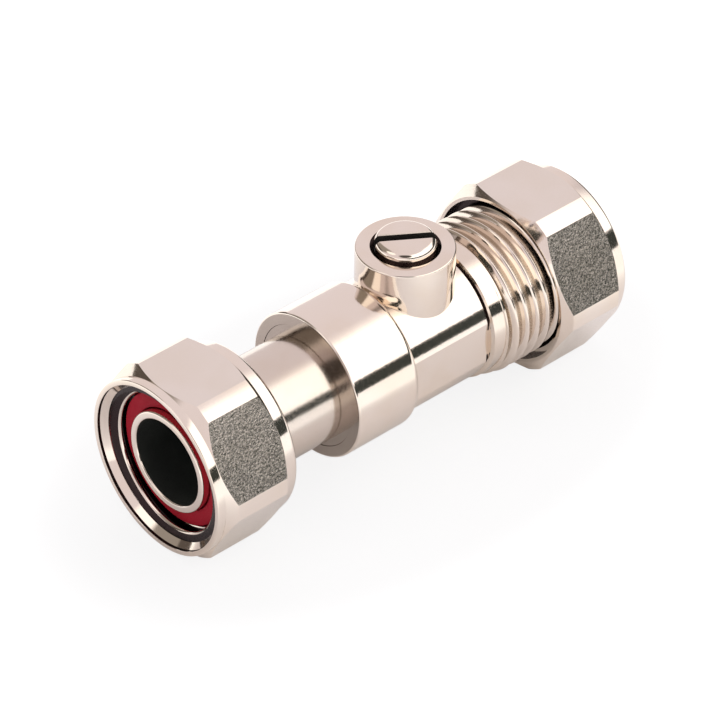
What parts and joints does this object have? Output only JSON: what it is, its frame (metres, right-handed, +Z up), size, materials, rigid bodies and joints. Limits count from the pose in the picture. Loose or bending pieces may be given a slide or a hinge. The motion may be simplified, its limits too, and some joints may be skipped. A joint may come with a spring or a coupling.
{
  "type": "isolating valve",
  "caption": "Straight slotted ball valve with a swivel tap nut and fibre washer at one end and a compression nut and olive for copper pipe at the other.",
  "frame": {"origin": "on the surface that the valve lies on, below the middle of its length, on the pipe axis's line", "axes": "+X along the pipe axis towards the compression nut, +Z up the stem, the lower flats of both nuts at z 0"},
  "size_m": [0.0704, 0.0264, 0.0273],
  "materials": {
    "nickel_plate": "polished",
    "ball_plate": "polished",
    "bare_brass": "satin",
    "red_fibre": "matte",
    "white_seat": "satin",
    "black_rubber": "satin"
  },
  "bodies": {
    "valve": {"valve_body": "nickel_plate", "tail_piece": "nickel_plate", "fibre_washer": "red_fibre", "front_seat": "white_seat", "rear_seat": "white_seat"},
    "ball_and_stem": {"stem": "nickel_plate", "ball": "ball_plate", "stem_thrust_washer": "white_seat", "lower_stem_seal": "black_rubber", "upper_stem_seal": "black_rubber"},
    "swivel_nut": {"swivel_nut": "nickel_plate"},
    "olive": {"olive": "bare_brass"},
    "compression_nut": {"compression_nut": "nickel_plate"}
  },
  "joints": [
    {"name": "ball_turn", "type": "hinge", "parent": "valve", "child": "ball_and_stem", "pos_m": [0.00615, 0, 0.012], "axis": [0, 0, 1], "continuous": true},
    {"name": "swivel_spin", "type": "hinge", "parent": "valve", "child": "swivel_nut", "pos_m": [-0.02854, 0, 0.012], "axis": [1, 0, 0], "continuous": true},
    {"name": "olive_slide", "type": "slide", "parent": "valve", "child": "olive", "axis": [1, 0, 0], "range_m": [0, 0.00363]},
    {"name": "compression_nut_turn", "type": "hinge", "parent": "olive", "child": "compression_nut", "pos_m": [0.02903, 0, 0.012], "axis": [1, 0, 0], "range_deg": [0, 720]}
  ],
  "couplings": [
    {"joint": "olive_slide", "follows": "compression_nut_turn", "m_per_rad": 0.00028871}
  ]
}
